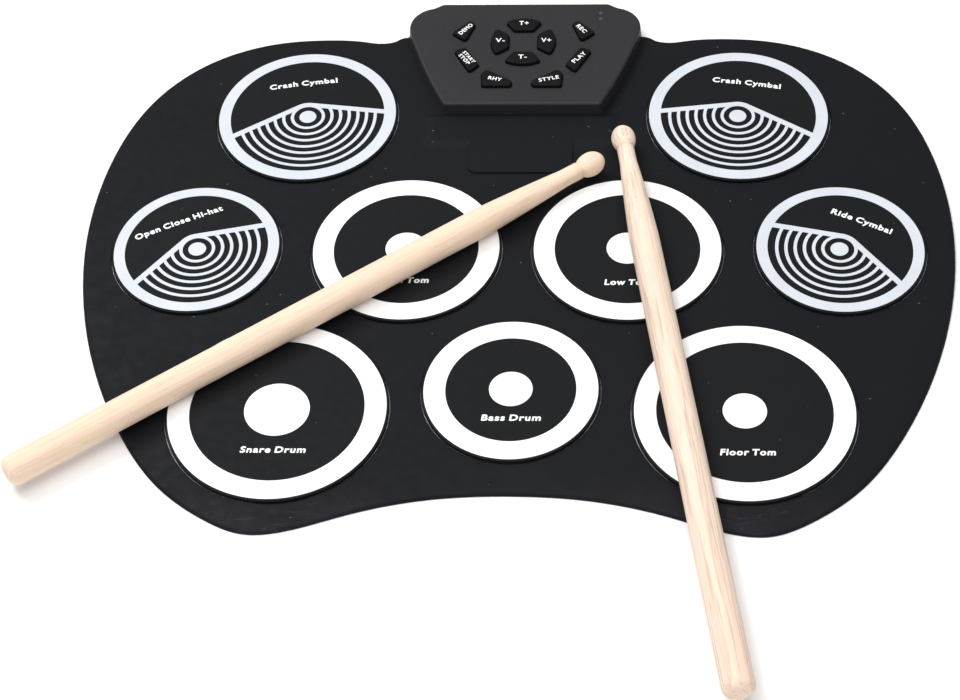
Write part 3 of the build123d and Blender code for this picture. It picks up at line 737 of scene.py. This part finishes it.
def spread_points(outline, sockets, normals, top):
    """Free points of the mat's top: rings along its edge and round its sockets, and a grid between."""
    points = cover_rings(top)
    for d in EDGE_RINGS:
        step = 1 if d < FINE_EDGE_RINGS else 2
        ring = (outline + normals * d * MM)[::step]
        points.append(ring[distance_to(outline, ring) > RING_SLACK * d * MM])
    for cx, cy, r in sockets:
        for d in SOCKET_RINGS:
            count = SOCKET_SEGMENTS if d < FINE_SOCKET_RINGS else SOCKET_SEGMENTS // 2
            points.append(circle(cx, cy, r + d * MM, count))
    x0, x1, y0, y1 = COVER_BOX
    dense = np.stack(np.meshgrid(np.arange(x0, x1, COVER_STEP), np.arange(y0, y1, COVER_STEP)), -1)
    low, high = outline.min(axis=0), outline.max(axis=0)
    rows = np.arange(low[1], high[1], GRID_STEP * GRID_ROW_PITCH)
    grid = np.stack(np.meshgrid(np.arange(low[0], high[0], GRID_STEP), rows), -1)
    grid[1::2, :, 0] += GRID_STEP / 2
    grid = grid.reshape(-1, 2)
    in_cover = (grid[:, 0] > x0) & (grid[:, 0] < x1) & (grid[:, 1] > y0) & (grid[:, 1] < y1)
    for cloud, margin in ((dense.reshape(-1, 2), COVER_MARGIN), (grid[~in_cover], GRID_MARGIN)):
        cloud = cloud[inside(outline, cloud)]
        cloud = cloud[distance_to(outline, cloud) > max(EDGE_RINGS) * MM + margin]
        for cx, cy, r in sockets:
            away = np.hypot(cloud[:, 0] - cx, cloud[:, 1] - cy)
            cloud = cloud[away > r + max(SOCKET_RINGS) * MM + margin]
        points.append(cloud)
    return keep_clear(points, sockets)


def keep_clear(clouds, sockets):
    """Drops points of each cloud that fall into a socket."""
    kept = []
    for cloud in clouds:
        for cx, cy, r in sockets:
            cloud = cloud[np.hypot(cloud[:, 0] - cx, cloud[:, 1] - cy) > r + HOLE_MARGIN]
        kept.append(cloud)
    return kept


def top_heights(points, edge_gap, socket_gap, tree, top):
    """Heights of the mat's top: flat, rounded at edges and sockets, raised at the cover, faintly wavy."""
    z = np.full(len(points), top)
    x0, x1, y0, y1 = COVER_BOX
    for i, (x, y) in enumerate(points):
        if x0 < x < x1 and y0 < y < y1:
            hit = tree.ray_cast(Vector((x, y, PROBE_ABOVE_Z)), Vector((0, 0, -1)))[0]
            z[i] = max(top, hit.z) if hit else top
    under_box = under_the_box(points)
    z -= np.where(under_box, 0, roll(edge_gap, MAT_ROLL_R))
    z -= roll(socket_gap, SOCKET_ROLL_R)
    fade = np.clip(np.minimum(edge_gap, socket_gap) / WAVE_FADE, 0, 1) ** 2
    wave = np.array([noise.noise(Vector((x / WAVE_LENGTH, y / WAVE_LENGTH, WAVE_LAYER))) for x, y in points])
    z += WAVE_HEIGHT * wave * fade * ~under_box
    front = np.clip(-points[:, 1] / LOBE_REACH, 0, 1)
    fall = np.clip(1 - edge_gap / LOBE_WIDTH, 0, 1) ** 2
    socket_clear = np.clip(socket_gap / LOBE_SOCKET_MARGIN, 0, 1)
    z -= LOBE_FALL * fall * front * socket_clear * ~under_box
    return np.maximum(z, RIM_Z)


def under_the_box(points):
    """Which points lie under the control box, where the mat stays flat."""
    low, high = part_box("upper_casing")
    return (np.abs(points[:, 0]) < high.x) & (points[:, 1] > low.y)


def build_mat():
    """The mat's top skin as one soft closed piece, on the outline of the CAD one."""
    low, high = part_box("mat_top_skin")
    top = high.z - COVER_H
    loops = slice_loops("mat_top_skin", OUTLINE_CUT_Z)
    outline = blur(resample(loops[0], OUTLINE_STEP), OUTLINE_BLUR)
    normals = inward_normals(outline)
    sockets = []
    for loop in loops[1:]:
        x0, y0 = loop.min(axis=0)
        x1, y1 = loop.max(axis=0)
        sockets.append(((x0 + x1) / 2, (y0 + y1) / 2, (x1 - x0) / 2))
    holes = [circle(cx, cy, r, SOCKET_SEGMENTS) for cx, cy, r in sockets]
    tree = surface_tree(frame["nodes"]["mat_top_skin"].data)

    def gaps(points):
        to_edge = distance_to(outline, points)
        to_socket = np.min([np.hypot(points[:, 0] - cx, points[:, 1] - cy) - r for cx, cy, r in sockets], 0)
        return to_edge, np.maximum(to_socket, 0)

    points, triangles = fill([outline, *holes], spread_points(outline, sockets, normals, top))
    z = top_heights(points, *gaps(points), tree, top)
    verts = [(x, y, h) for (x, y), h in zip(points, z)]
    faces = [tuple(t) for t in triangles]

    rings = [outline + normals * d * MM for d in SOLE_RINGS]
    rings = [ring[distance_to(outline, ring) > RING_SLACK * d * MM] for ring, d in zip(rings, SOLE_RINGS)]
    sole, sole_triangles = fill([outline, *holes], keep_clear(rings, sockets))
    base = len(verts)
    to_edge, _ = gaps(sole)
    rim_count = len(outline)
    for i, (x, y) in enumerate(sole):
        probe = Vector((x, y, PROBE_BELOW_Z))
        if i < rim_count:
            probe.xy = outline[i] + normals[i] * RIM_PROBE_IN
        hit = tree.ray_cast(probe, Vector((0, 0, 1)))[0]
        foot = hit.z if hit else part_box("sensor_film_upper")[1].z
        verts.append((x, y, foot + float(roll(to_edge[i:i + 1], SOLE_ROLL_R)[0])))
    faces += [tuple(base + i for i in t[::-1]) for t in sole_triangles]

    first = 0
    for loop in [outline, *holes]:
        count = len(loop)
        for i in range(count):
            a, b = first + i, first + (i + 1) % count
            faces.append((a, b, base + b, base + a))
        first += count
    piece = mesh_from("mat_skin", verts, faces)
    stand_in(piece, "mat_top_skin", "root", BLACK_MAT, MAT_CREASE)


# ======== Pads, prints and words ========

def build_pad(name):
    """A playing disc with a soft rim."""
    cx, cy, r, top = pad_circle(name)
    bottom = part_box("pad_" + name)[0].z
    profile = [(0.5 * r, bottom), (r - PAD_FOOT, bottom), (r, bottom + PAD_FOOT)]
    profile += [(r - inward, top - drop) for inward, drop in quarter(PAD_ROLL_R, ROLL_STEPS)]
    profile += [(share * (r - PAD_ROLL_R), top) for share in PAD_TOP_RINGS]
    piece = lathe("pad_disc_" + name, profile, SOCKET_SEGMENTS, (cx, cy))
    stand_in(piece, "pad_" + name, "pad_" + name, BLACK_PAD, PAD_CREASE)


def plate(name, points, triangles, z0, z1, material):
    """A thin closed plate on flat triangles."""
    used = sorted(set(triangles.ravel()))
    place = {old: new for new, old in enumerate(used)}
    bm = bmesh.new()
    verts = [bm.verts.new((*points[i], z0)) for i in used]
    for t in triangles:
        bm.faces.new([verts[place[i]] for i in t])
    bmesh.ops.recalc_face_normals(bm, faces=bm.faces)
    bmesh.ops.dissolve_limit(bm, angle_limit=FLAT_ENOUGH, verts=bm.verts, edges=bm.edges)
    bmesh.ops.triangulate(bm, faces=bm.faces)
    raised = bmesh.ops.extrude_face_region(bm, geom=bm.faces[:])["geom"]
    raised = [v for v in raised if isinstance(v, bmesh.types.BMVert)]
    bmesh.ops.translate(bm, vec=(0, 0, z1 - z0), verts=raised)
    bmesh.ops.recalc_face_normals(bm, faces=bm.faces)
    mesh = bpy.data.meshes.new(name)
    bm.to_mesh(mesh)
    bm.free()
    return paint(new_object(name, mesh), material)


def polar(r, angle):
    return np.array([r * math.cos(angle), r * math.sin(angle)])


def arc(r, start, end):
    """Points on an arc about the local centre, both ends included."""
    count = max(2, int(abs(end - start) / ARC_STEP) + 1)
    return [polar(r, start + (end - start) * i / (count - 1)) for i in range(count)]


def cymbal_loops(r, ring_w, arcs, shift):
    """The white print of a cymbal about the pad's centre: an outer disc, less its dark cells, with the hub.
    The pattern below the arms is centred on a point that lies shift nearer the player."""
    up = math.pi / 2
    outer = HUB_R + CHEVRON_W
    right, left = up - CHEVRON_DROP, up + CHEVRON_DROP
    ring_r = r - ring_w
    hub = np.array([0.0, -shift])

    def arm_hit(offset, side):
        """Where an arm's line, at its distance from the hub, meets the ring's inner edge."""
        normal = polar(1, right if side > 0 else left)
        along = polar(1, (right if side > 0 else left) - side * up)
        start = hub + normal * offset
        b = start @ along
        return start + along * (math.sqrt(b * b - start @ start + ring_r ** 2) - b)

    def turn_of(point):
        return math.atan2(point[1], point[0])

    loops = [circle(0, 0, r, CYMBAL_POINTS[0])]
    upper = [hub + p for p in arc(outer, left, right)]
    first, last = turn_of(arm_hit(outer, 1)), turn_of(arm_hit(outer, -1))
    loops.append(np.array(upper + arc(ring_r, first, last % (2 * math.pi))))
    for k in range(arcs):
        inner_r = HUB_R + ARC_W + ARC_PITCH * k
        outer_r = HUB_R + ARC_PITCH * (k + 1)
        cell = []
        for radius, forward in ((inner_r, True), (outer_r, False)):
            reach = math.acos(HUB_R / radius)
            points = [hub + p for p in arc(radius, right - reach, left + reach - 2 * math.pi)]
            cell += points if forward else points[::-1]
        loops.append(np.array(cell))
    last_r = HUB_R + ARC_W + ARC_PITCH * arcs
    reach = math.acos(HUB_R / last_r)
    cell = [hub + p for p in arc(last_r, right - reach, left + reach - 2 * math.pi)]
    first, last = turn_of(arm_hit(HUB_R, -1)), turn_of(arm_hit(HUB_R, 1))
    cell += arc(ring_r, first % (2 * math.pi) - 2 * math.pi, last)
    loops.append(np.array(cell))
    loops.append(circle(*hub, HUB_R, CYMBAL_POINTS[1]))
    loops.append(circle(*hub, HUB_DOT_R, CYMBAL_POINTS[2]))
    return loops


def drum_loops(r, dot_r):
    return [circle(0, 0, radius, count) for radius, count in zip((r, r - DRUM_RING_W, dot_r), DRUM_POINTS)]


def turned(loops, angle, centre):
    c, s = math.cos(angle), math.sin(angle)
    spin = np.array([[c, s], [-s, c]])
    return [loop @ spin + np.array(centre) for loop in loops]


def build_print(name):
    """The printed rings, dot, and arcs of a pad."""
    cx, cy, pad_r, top = pad_circle(name)
    r = pad_r - PAD_RIM
    if name in CYMBALS:
        facts = CYMBALS[name]
        ring_w = CYMBAL_RING_W[round(r / MM)]
        loops = cymbal_loops(r, ring_w, facts["arcs"], facts["shift"])
        loops = turned(loops, math.radians(facts["turn"]), (cx, cy))
        material = CYMBAL_INK
    else:
        loops = turned(drum_loops(r, DOT_R[name]), 0.0, (cx, cy))
        material = WHITE_INK
    piece = plate("print_" + name, *fill(loops), top - PRINT_SINK, top + PRINT_T, material)
    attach(piece, "pad_" + name)


def word_loops(text, slant):
    """The closed outlines of a word in a plain sans face, in units of its size."""
    curve = bpy.data.curves.new("word", "FONT")
    curve.body = text
    curve.size = 1.0
    curve.shear = slant
    curve.space_character = LETTER_SPACING
    curve.space_word = WORD_SPACING
    curve.resolution_u = WORD_CURVE_STEPS
    holder = new_object("word", curve)
    bpy.context.view_layer.update()
    mesh = bpy.data.meshes.new_from_object(holder.evaluated_get(bpy.context.evaluated_depsgraph_get()))
    bpy.data.objects.remove(holder)
    bm = bmesh.new()
    bm.from_mesh(mesh)
    bmesh.ops.remove_doubles(bm, verts=bm.verts, dist=WORD_MERGE)
    onward = {}
    for edge in bm.edges:
        if edge.is_boundary:
            loop = edge.link_loops[0]
            onward[loop.vert.index] = loop.link_loop_next.vert.index
    at = [v.co.xy.copy() for v in bm.verts]
    bm.free()
    loops = []
    while onward:
        here = next(iter(onward))
        points = []
        while here in onward:
            points.append(at[here])
            here = onward.pop(here)
        loops.append(np.array(points))
    return [loop for loop in loops if len(loop) > 2]


def word_shape(text, height, width, weight, slant=0.0):
    """A word made heavier by weight all round, about its middle: points and triangles."""
    loops = word_loops(text, slant)
    everything = np.vstack(loops)
    low, high = everything[:, 0].min(), everything[:, 0].max()
    middle = np.array([(low + high) / 2, CAPITAL / 2])
    scale = np.array([(width - 2 * weight) / (high - low), (height - 2 * weight) / CAPITAL])
    loops = [(loop - middle) * scale for loop in loops]
    shifts = [polar(weight, 2 * math.pi * i / WORD_COPIES) for i in range(WORD_COPIES)] + [polar(0, 0)]
    return union_fill([[loop + shift for loop in loops] for shift in shifts])


def place_word(co, angle, centre, bow=0.0):
    """Bends a word upwards at its middle by bow, turns it and puts it at centre."""
    co = co.copy()
    half = np.abs(co[:, 0]).max()
    co[:, 1] += bow * (0.5 - (co[:, 0] / half) ** 2)
    return turned([co], angle, centre)[0]


def build_pad_word(name):
    text, length, offset, turn, slant, bow = PAD_WORDS[name]
    cx, cy, _, top = pad_circle(name)
    base_turn = math.radians(CYMBALS[name]["turn"]) if name in CYMBALS else 0.0
    centre = turned([np.array([offset]) * MM], base_turn, (cx, cy))[0][0]
    points, triangles = word_shape(text, PAD_WORD_H, length * MM, WORD_WEIGHT, slant)
    points = place_word(points, base_turn + math.radians(turn), centre, bow * MM)
    piece = plate("word_" + name, points, triangles, top - PRINT_SINK, top + PRINT_T, WHITE_INK)
    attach(piece, "pad_" + name)


# ======== Keys ========

def build_key(name):
    """A rubber key on the CAD key's outline: a soft domed cap, the flange that holds it and its plunger."""
    node = "key_" + name
    low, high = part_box(node)
    loop = blur(resample(slice_loops(node, KEY_CUT_Z)[0], KEY_STEP), KEY_BLUR)
    normals = inward_normals(loop)

    def ring(inset, z):
        return [(x, y, z) for x, y in loop + normals * inset]

    middle = loop.mean(axis=0)
    flange_low, flange_high = KEY_FLANGE_Z
    rings = [ring(KEY_PLUNGER_INSET, low.z), ring(KEY_PLUNGER_INSET, flange_low)]
    rings += [ring(-KEY_FLANGE_W, flange_low), ring(-KEY_FLANGE_W, flange_high), ring(0, flange_high)]
    rings += [ring(inward, high.z - drop - KEY_CROWN) for inward, drop in quarter(KEY_ROLL_R, ROLL_STEPS)]
    rim = loop + normals * KEY_ROLL_R
    for share in KEY_TOP_RINGS:
        z = high.z - KEY_CROWN * share ** 2
        rings.append([(x, y, z) for x, y in middle + (rim - middle) * share])
    piece = skin_rings("keycap_" + name, rings)
    stand_in(piece, node, "key_" + name, BLACK_KEY, KEY_CREASE)
    return piece, middle


def build_key_word(name, middle, keycap):
    """The key's white lettering, draped on its domed top."""
    lines, height, width, turn, shift = KEY_WORDS[name]
    tree = surface_tree(keycap.data)
    longest = max(lines, key=len)
    centre = middle + np.array(shift) * MM
    for row, text in enumerate(lines):
        share = 1.0 if text == longest else SHORT_LINE
        points, triangles = word_shape(text, height * MM, width * share * MM, KEY_WORD_WEIGHT)
        points[:, 1] += ((len(lines) - 1) / 2 - row) * height * LINE_PITCH * MM
        points = place_word(points, math.radians(turn), centre)
        label = "keyword_" + name + ("_" + str(row + 1) if len(lines) > 1 else "")
        piece = plate(label, points, triangles, 0.0, PRINT_T, WHITE_INK)
        for vert in piece.data.vertices:
            hit = tree.ray_cast(Vector((vert.co.x, vert.co.y, PROBE_ABOVE_Z)), Vector((0, 0, -1)))[0]
            vert.co.z += hit.z - PRINT_SINK
        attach(piece, "key_" + name)


# ======== Sticks ========

def stick_axis(node):
    """Butt, level direction, length and radius of a CAD stick, from its own vertices."""
    co = np.array([v.co for v in frame["nodes"][node].data.vertices])
    axes = np.linalg.svd(co - co.mean(axis=0), full_matrices=False)[2]
    along = axes[0] * np.sign(axes[0][1])
    along[2] = 0
    along /= np.linalg.norm(along)
    across = np.array([-along[1], along[0], 0])
    run, side = co @ along, co @ across
    butt = along * run.min() + across * (side.min() + side.max()) / 2
    butt[2] = (co[:, 2].min() + co[:, 2].max()) / 2
    return Vector(butt), Vector(along), np.ptp(run), np.ptp(co[:, 2]) / 2


def build_stick(node, body, material):
    """A turned drumstick in its own frame, its grain along its own Z."""
    start, z_axis, length, r = stick_axis(node)
    neck_end = length - BEAD_LENGTH
    taper_end = neck_end - NECK_STRAIGHT
    taper_start = taper_end - TAPER_LENGTH
    profile = [(r - BUTT_R - BUTT_FACE_IN, BUTT_FACE_Z)]
    profile += [(r - drop, inward) for inward, drop in quarter(BUTT_R, BUTT_STEPS)[1:]]
    profile += [(r, BUTT_R + (taper_start - BUTT_R) * i / SHAFT_STEPS) for i in range(1, SHAFT_STEPS)]
    for i in range(TAPER_STEPS + 1):
        t = i / TAPER_STEPS
        profile.append((NECK_R + (r - NECK_R) * (1 - t ** TAPER_POWER),
                        taper_start + (taper_end - taper_start) * t))
    profile.append((NECK_R, (taper_end + neck_end) / 2))
    middle = length - BEAD_TIP
    first, turn = BEAD_TURN
    for i in range(BEAD_STEPS + 1):
        a = first + turn * i / BEAD_STEPS
        half = BEAD_LENGTH - BEAD_TIP if a < math.pi / 2 else BEAD_TIP
        bead_r = BEAD_R * math.sin(a)
        profile.append((bead_r if i else max(NECK_R, bead_r), middle - half * math.cos(a)))
    piece = lathe("stick_" + body.split("_")[1], profile, STICK_SEGMENTS)
    x_axis = Vector((z_axis.y, -z_axis.x, 0))
    place = Matrix((x_axis, z_axis.cross(x_axis), z_axis)).transposed().to_4x4()
    place.translation = start
    piece.matrix_world = place
    stand_in(piece, node, body, material, STICK_CREASE)


# ======== Stage ========

def build_stage():
    corners = [(x * FLOOR_HALF, y * FLOOR_HALF, 0) for x, y in ((-1, -1), (1, -1), (1, 1), (-1, 1))]
    floor = mesh_from("floor", corners, [(0, 1, 2, 3)])
    s = Shader("floor_paper", specular_ior_level=0.1)
    s.colour(s.ramp(s.noise(3, detail=2), (0.3, rgb(0.88, 0.88, 0.885)), (0.7, rgb(0.9, 0.9, 0.9))))
    s.roughness(s.noise(40), 0.85, 0.95)
    paint(floor, s.material)


def area_light(name, at, size, power):
    """A rectangular lamp that points at the origin."""
    light = bpy.data.lights.new(name, "AREA")
    light.shape = "RECTANGLE"
    light.size, light.size_y = size
    light.energy = power
    holder = bpy.data.objects.new(name, light)
    bpy.context.scene.collection.objects.link(holder)
    holder.location = at
    holder.rotation_euler = (-Vector(at)).to_track_quat("-Z", "Y").to_euler()


def build_lights():
    for light in LIGHTS:
        area_light(*light)
    world = bpy.data.worlds.new("studio")
    bpy.context.scene.world = world
    world.use_nodes = True
    background = world.node_tree.nodes["Background"]
    background.inputs["Color"].default_value = rgb(1, 1, 1)
    background.inputs["Strength"].default_value = WORLD_STRENGTH
    bpy.context.scene.view_settings.view_transform = "Standard"


def build_camera():
    data = bpy.data.cameras.new("camera")
    data.lens = CAMERA_LENS
    data.sensor_width = CAMERA_SENSOR
    data.shift_x = CAMERA_SHIFT
    data.clip_start, data.clip_end = CAMERA_CLIP
    camera = bpy.data.objects.new("camera", data)
    bpy.context.scene.collection.objects.link(camera)
    turn = (Matrix.Rotation(CAMERA_YAW, 4, "Z") @ Matrix.Rotation(math.pi / 2 - CAMERA_PITCH, 4, "X")
            @ Matrix.Rotation(CAMERA_ROLL, 4, "Z"))
    camera.matrix_world = Matrix.Translation(CAMERA_AT) @ turn
    bpy.context.scene.camera = camera


build_stage()
build_lights()
build_camera()
dress_cad_nodes()
build_mat()
for pad in pad_names():
    build_pad(pad)
    build_print(pad)
    build_pad_word(pad)
for key in KEY_WORDS:
    cap, centre_of_key = build_key(key)
    build_key_word(key, centre_of_key, cap)
build_stick("drumstick_left", "stick_left", MAPLE_PLAIN)
build_stick("drumstick_right", "stick_right", MAPLE_STREAKED)
